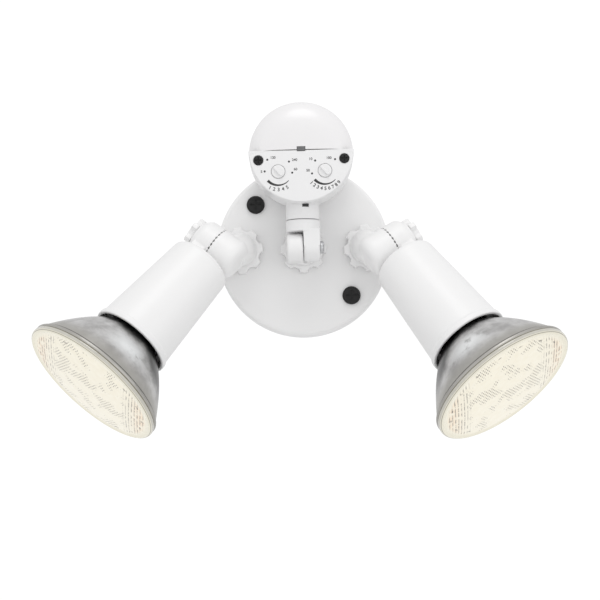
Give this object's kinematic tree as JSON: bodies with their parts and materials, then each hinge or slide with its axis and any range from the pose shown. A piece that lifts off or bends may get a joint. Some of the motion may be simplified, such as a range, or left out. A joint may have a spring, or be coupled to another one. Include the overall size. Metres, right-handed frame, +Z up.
{
  "type": "twin security floodlight",
  "caption": "Twin lamp security floodlight on a round wall canopy, with a tilting motion sensor head between two adjustable cone-shaped lampholders.",
  "frame": {"origin": "centre of the wall face, where the crossbar meets the junction box", "axes": "+X to the right seen from the front, +Z up, -Y out of the wall towards the viewer"},
  "size_m": [0.4177, 0.1779, 0.2805],
  "materials": {
    "white_paint": "smooth white powder coat on die-cast metal",
    "white_plastic": "satin moulded white",
    "sensor_lens_plastic": "milky white, smooth",
    "black_screw": "black oxide, satin",
    "black_plastic": "moulded",
    "grey_plastic": "moulded",
    "foam": "closed-cell foam",
    "steel": "zinc plated",
    "green_steel": "green plated",
    "seal_rubber": "grey silicone",
    "porcelain": "glazed",
    "brass": "pressed, slightly dull",
    "silvered_reflector": "aluminised outside of pressed glass, satin",
    "lamp_glass": "stippled pressed glass, lit warm from inside",
    "capsule_glass": "clear",
    "circuit_board": "solder mask"
  },
  "bodies": {
    "base": {"canopy": "white_paint", "wall_gasket": "foam", "crossbar": "steel", "ground_screw": "green_steel", "cover_screw_upper": "black_screw", "cover_screw_lower": "black_screw"},
    "locknut_left": {"locknut_left": "white_paint"},
    "elbow_left": {"elbow_left": "white_paint"},
    "lampholder_left": {"lampholder_left": "white_paint", "socket_body_left": "porcelain", "screw_shell_left": "brass", "centre_contact_left": "brass", "mouth_seal_left": "seal_rubber"},
    "clamp_left": {"clamp_knob_left": "white_paint", "clamp_bolt_left": "steel"},
    "lamp_left": {"reflector_left": "silvered_reflector", "lens_left": "lamp_glass", "lamp_base_left": "brass", "light_capsule_left": "capsule_glass"},
    "locknut_right": {"locknut_right": "white_paint"},
    "elbow_right": {"elbow_right": "white_paint"},
    "lampholder_right": {"lampholder_right": "white_paint", "socket_body_right": "porcelain", "screw_shell_right": "brass", "centre_contact_right": "brass", "mouth_seal_right": "seal_rubber"},
    "clamp_right": {"clamp_knob_right": "white_paint", "clamp_bolt_right": "steel"},
    "lamp_right": {"reflector_right": "silvered_reflector", "lens_right": "lamp_glass", "lamp_base_right": "brass", "light_capsule_right": "capsule_glass"},
    "locknut_sensor": {"locknut_sensor": "white_paint"},
    "sensor_elbow": {"sensor_elbow": "white_paint"},
    "sensor_arm": {"sensor_arm": "white_plastic"},
    "hinge_screw": {"hinge_screw": "steel"},
    "sensor_head": {"sensor_housing": "white_plastic", "sensor_lens": "sensor_lens_plastic", "dial_plate": "white_plastic", "indicator_window": "grey_plastic", "plate_screw_left": "black_screw", "plate_screw_right": "black_screw", "main_board": "circuit_board", "relay": "black_plastic", "detector_board": "circuit_board", "infrared_detector": "steel", "potentiometer_time": "grey_plastic", "potentiometer_range": "grey_plastic"},
    "dial_time": {"dial_time": "white_plastic"},
    "dial_range": {"dial_range": "white_plastic"}
  },
  "joints": [
    {"name": "nut_turn_left", "type": "hinge", "parent": "base", "child": "locknut_left", "pos_m": [-0.053, -0.02, 0], "axis": [0, -1, 0], "range_deg": [0, 180]},
    {"name": "swing_left", "type": "hinge", "parent": "base", "child": "elbow_left", "pos_m": [-0.053, -0.02, 0], "axis": [0, 1, 0], "range_deg": [-30, 50]},
    {"name": "tilt_left", "type": "hinge", "parent": "elbow_left", "child": "lampholder_left", "pos_m": [-0.07188, -0.0576, -0.0013], "axis": [-0.7888, 0.1564, 0.5944], "range_deg": [-12, 55]},
    {"name": "clamp_turn_left", "type": "hinge", "parent": "elbow_left", "child": "clamp_left", "pos_m": [-0.07188, -0.0576, -0.0013], "axis": [-0.7888, 0.1564, 0.5944], "range_deg": [0, 360]},
    {"name": "lamp_turn_left", "type": "hinge", "parent": "lampholder_left", "child": "lamp_left", "pos_m": [-0.07188, -0.0576, -0.0013], "axis": [-0.6055, -0.3636, -0.7079], "continuous": true},
    {"name": "nut_turn_right", "type": "hinge", "parent": "base", "child": "locknut_right", "pos_m": [0.053, -0.02, 0], "axis": [0, -1, 0], "range_deg": [0, 180]},
    {"name": "swing_right", "type": "hinge", "parent": "base", "child": "elbow_right", "pos_m": [0.053, -0.02, 0], "axis": [0, -1, 0], "range_deg": [-30, 50]},
    {"name": "tilt_right", "type": "hinge", "parent": "elbow_right", "child": "lampholder_right", "pos_m": [0.07157, -0.0576, -0.00365], "axis": [-0.8571, -0.1564, -0.4909], "range_deg": [-12, 55]},
    {"name": "clamp_turn_right", "type": "hinge", "parent": "elbow_right", "child": "clamp_right", "pos_m": [0.07157, -0.0576, -0.00365], "axis": [0.8571, 0.1564, 0.4909], "range_deg": [0, 360]},
    {"name": "lamp_turn_right", "type": "hinge", "parent": "lampholder_right", "child": "lamp_right", "pos_m": [0.07157, -0.0576, -0.00365], "axis": [0.5078, -0.4174, -0.7536], "continuous": true},
    {"name": "nut_turn_sensor", "type": "hinge", "parent": "base", "child": "locknut_sensor", "pos_m": [0, -0.02, 0], "axis": [0, -1, 0], "range_deg": [0, 180]},
    {"name": "sensor_swing", "type": "hinge", "parent": "base", "child": "sensor_elbow", "pos_m": [0, -0.02, 0], "axis": [0, -1, 0], "range_deg": [-20, 20]},
    {"name": "sensor_tilt", "type": "hinge", "parent": "sensor_elbow", "child": "sensor_arm", "pos_m": [0, -0.047, -0.0015], "axis": [1, 0, 0], "range_deg": [0, 95]},
    {"name": "hinge_screw_turn", "type": "hinge", "parent": "sensor_elbow", "child": "hinge_screw", "pos_m": [0, -0.047, -0.0015], "axis": [1, 0, 0], "range_deg": [0, 360]},
    {"name": "sensor_pan", "type": "hinge", "parent": "sensor_arm", "child": "sensor_head", "pos_m": [0, -0.047, 0.021], "axis": [0, 0, 1], "range_deg": [-13, 13]},
    {"name": "time_dial_turn", "type": "hinge", "parent": "sensor_head", "child": "dial_time", "pos_m": [-0.019, -0.07, 0.0584], "axis": [0, -1, 0], "range_deg": [-200, 60]},
    {"name": "range_dial_turn", "type": "hinge", "parent": "sensor_head", "child": "dial_range", "pos_m": [0.019, -0.07, 0.0584], "axis": [0, -1, 0], "range_deg": [-200, 60]}
  ]
}
